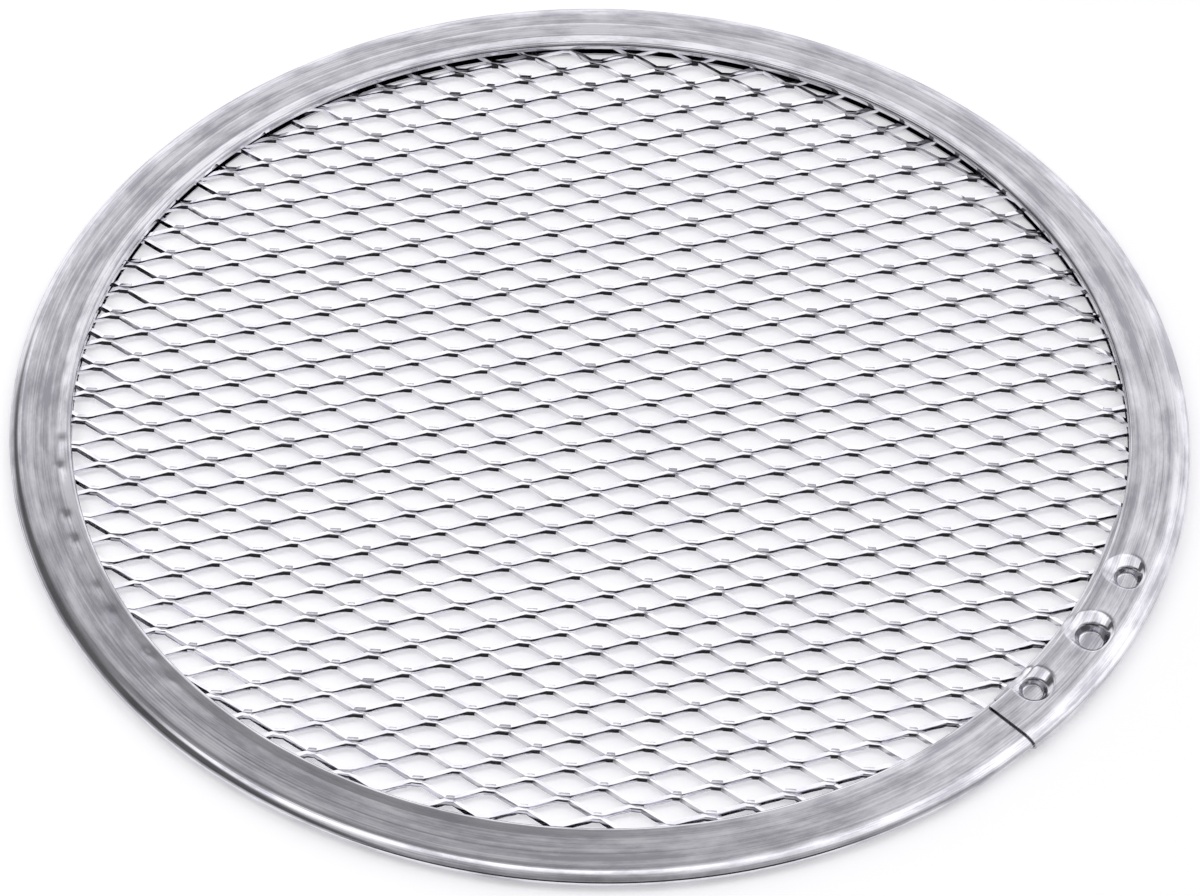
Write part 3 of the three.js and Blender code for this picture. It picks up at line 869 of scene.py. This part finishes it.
def studio_room():
    """White studio with a bright wall at the back, a bright right side and the dark behind the camera.

    The brightness is a ramp over the angle atan2(up, back), blended over the sideways direction, and
    has its own levels at the far left and right. To the eye the room is white.
    """
    world = bpy.data.worlds.new("studio_room")
    world.use_nodes = True
    tree = world.node_tree
    tree.nodes.clear()
    axes = add(tree, "SeparateXYZ", {0: add(tree, "TexCoord").outputs["Generated"]})
    right, back, up = axes.outputs
    over = add(tree, "Math", {0: up, 1: back}, operation="ARCTAN2")
    over = add(tree, "MapRange", {"Value": over, "From Max": math.pi})
    ramp = add(tree, "ValToRGB", {0: over})
    stops = ramp.color_ramp.elements
    while len(stops) < len(STUDIO):
        stops.new(1.0)
    for stop, (degrees, *levels) in zip(stops, STUDIO):
        stop.position = degrees / 180
        stop.color = (*levels, 1)

    # The middle level goes over to the right and the left one within 0.2 to each side.
    left_level, level, right_level = add(tree, "SeparateColor", {0: ramp}).outputs
    for way, side_level in ((1, right_level), (-1, left_level)):
        aside = add(tree, "Math", {0: right, 1: way / 0.2}, operation="MULTIPLY")
        level = add(tree, "Mix", {0: aside, 2: level, 3: side_level}, data_type="FLOAT")

    # The far left is a bright wall below a dark ceiling, and the wall begins further out.
    shift = add(tree, "MapRange", {"Value": up, "From Min": 0.3, "From Max": 0.5,
                                   "To Min": 0.2, "To Max": 0.0})
    aside = add(tree, "Math", {0: right, 1: shift}, operation="ADD")
    far_left = add(tree, "MapRange", {"Value": aside, "From Min": -0.34, "From Max": -0.54},
                   interpolation_type="SMOOTHSTEP")
    wall = add(tree, "MapRange", {"Value": right, "From Min": -0.9, "From Max": -0.8,
                                  "To Min": 0.45, "To Max": 0.76})
    wall = add(tree, "MapRange", {"Value": up, "From Min": 0.3, "From Max": 0.5,
                                  "To Min": wall, "To Max": 0.12})
    level = add(tree, "Mix", {0: far_left, 2: level, 3: wall}, data_type="FLOAT")

    # The far right is never dark.
    far_right = add(tree, "MapRange", {"Value": right, "From Min": 0.62, "From Max": 0.8, "To Max": 0.7})
    level = add(tree, "Math", {0: level, 1: far_right}, operation="MAXIMUM")

    seen = add(tree, "LightPath").outputs["Is Camera Ray"]
    level = add(tree, "Mix", {0: seen, 2: level, 3: 1.0}, data_type="FLOAT")
    light = add(tree, "Background", {"Color": (0.985, 0.98, 1, 1), "Strength": level})
    add(tree, "OutputWorld", {"Surface": light})
    return world


# Stage

# Width of the camera's sensor in millimetres, and how far it sees.
SENSOR_WIDTH, FARTHEST_SEEN = 36, 50
# Half the floor's width, and how far it lies below the screen.
FLOOR_REACH, FLOOR_DROP = 3.0, 0.05 * MM
SOFTBOX_SIZE = (0.9, 0.7)
SOFTBOX_PLACE = (-0.8, 0.05, 0.85)


def aimed_camera(stage):
    """The camera, aimed at the ring's middle, leant by the roll and then turned down by the dip."""
    place = Vector(stage.camera)
    ahead = -place.normalized()
    side = Vector((1, 0, 0))
    above = side.cross(ahead)
    x = math.cos(stage.roll) * side + math.sin(stage.roll) * above
    y = -math.sin(stage.roll) * side + math.cos(stage.roll) * above
    ahead, y = (math.cos(stage.dip) * ahead - math.sin(stage.dip) * y,
                math.cos(stage.dip) * y + math.sin(stage.dip) * ahead)
    data = bpy.data.cameras.new("camera")
    data.sensor_fit = "HORIZONTAL"
    data.sensor_width = SENSOR_WIDTH
    data.lens = stage.lens
    data.clip_end = FARTHEST_SEEN
    camera = bpy.data.objects.new("camera", data)
    camera.matrix_world = Matrix((x, y, -ahead)).transposed().to_4x4()
    camera.location = place
    return camera


def hung_softbox(stage):
    """A soft lamp above the left, aimed at the ring's middle, which the metal doesn't mirror."""
    lamp = bpy.data.lights.new("softbox", "AREA")
    lamp.shape = "RECTANGLE"
    lamp.size, lamp.size_y = SOFTBOX_SIZE
    lamp.energy = stage.softbox
    softbox = bpy.data.objects.new("softbox", lamp)
    softbox.visible_glossy = False
    softbox.location = SOFTBOX_PLACE
    softbox.rotation_euler = (-softbox.location).to_track_quat("-Z", "Y").to_euler()
    return softbox


# Operators

# Angles above which the edges of a piece are sharp.
SHEET_SHARP, RIM_SHARP = math.radians(22), math.radians(62)


class PIZZASCREEN_OT_stage(bpy.types.Operator):
    """Set the camera, the floor and the light."""

    bl_idname = "pizza_screen.stage"
    bl_label = "Set Stage"

    def execute(self, context):
        scene = context.scene
        stage = scene.pizza_screen_stage
        scene.view_settings.view_transform = "Standard"
        scene.world = studio_room()
        camera = aimed_camera(stage)
        scene.collection.objects.link(camera)
        scene.camera = camera
        corners = FLOOR_REACH * np.array(((-1, -1), (1, -1), (1, 1), (-1, 1)))
        points = np.column_stack((corners, np.full(4, -FLOOR_DROP)))
        floor = make_piece("floor", points, [(0, 1, 2, 3)], matt_table(stage))
        scene.collection.objects.link(hung_softbox(stage))
        return {"FINISHED"}


class PIZZASCREEN_OT_sheet(bpy.types.Operator):
    """Make the expanded sheet."""

    bl_idname = "pizza_screen.sheet"
    bl_label = "Add Expanded Sheet"

    def execute(self, context):
        sheet, rim = context.scene.pizza_screen_sheet, context.scene.pizza_screen_rim
        points, faces, bends = sheet_surface(sheet, rim)
        piece = make_piece("expanded_sheet", points, faces, expanded_aluminium(sheet), SHEET_SHARP, bends)
        stand_in(piece, "mesh_disc")
        return {"FINISHED"}


class PIZZASCREEN_OT_rim(bpy.types.Operator):
    """Make the rolled rim with its lap joint and dimples."""

    bl_idname = "pizza_screen.rim"
    bl_label = "Add Rim"

    def execute(self, context):
        sheet, rim = context.scene.pizza_screen_sheet, context.scene.pizza_screen_rim
        points, faces, strip = rim_surface(rim, sheet)
        piece = make_piece("rolled_rim", points, faces, rolled_aluminium(rim), RIM_SHARP)
        layer = piece.data.attributes.new("strip", "FLOAT_VECTOR", "POINT")
        layer.data.foreach_set("vector", strip.ravel().astype(np.float32))
        stand_in(piece, "rim_channel")
        return {"FINISHED"}


class PIZZASCREEN_PT_panel(bpy.types.Panel):
    """Pieces of the screen and their sizes."""

    bl_idname = "PIZZASCREEN_PT_panel"
    bl_label = "Pizza Screen"
    bl_space_type = "VIEW_3D"
    bl_region_type = "UI"
    bl_category = "Pizza Screen"

    def draw(self, context):
        for operator, name, _ in SECTIONS:
            box = self.layout.box()
            box.operator(operator.bl_idname)
            settings = getattr(context.scene, name)
            for setting in settings.__annotations__:
                box.prop(settings, setting)


# Each operator with the name and the class of its settings.
SECTIONS = (
    (PIZZASCREEN_OT_stage, "pizza_screen_stage", StageSettings),
    (PIZZASCREEN_OT_sheet, "pizza_screen_sheet", SheetSettings),
    (PIZZASCREEN_OT_rim, "pizza_screen_rim", RimSettings),
)
OPERATORS, NAMES, GROUPS = zip(*SECTIONS)
CLASSES = (*GROUPS, *OPERATORS, PIZZASCREEN_PT_panel)


def register():
    for cls in CLASSES:
        bpy.utils.register_class(cls)
    for name, group in zip(NAMES, GROUPS):
        setattr(bpy.types.Scene, name, PointerProperty(type=group))


def unregister():
    for name in NAMES:
        delattr(bpy.types.Scene, name)
    for cls in reversed(CLASSES):
        bpy.utils.unregister_class(cls)


def main():
    register()
    bpy.ops.pizza_screen.stage()
    bpy.ops.pizza_screen.sheet()
    bpy.ops.pizza_screen.rim()
    bpy.context.view_layer.update()


if __name__ == "__main__":
    main()
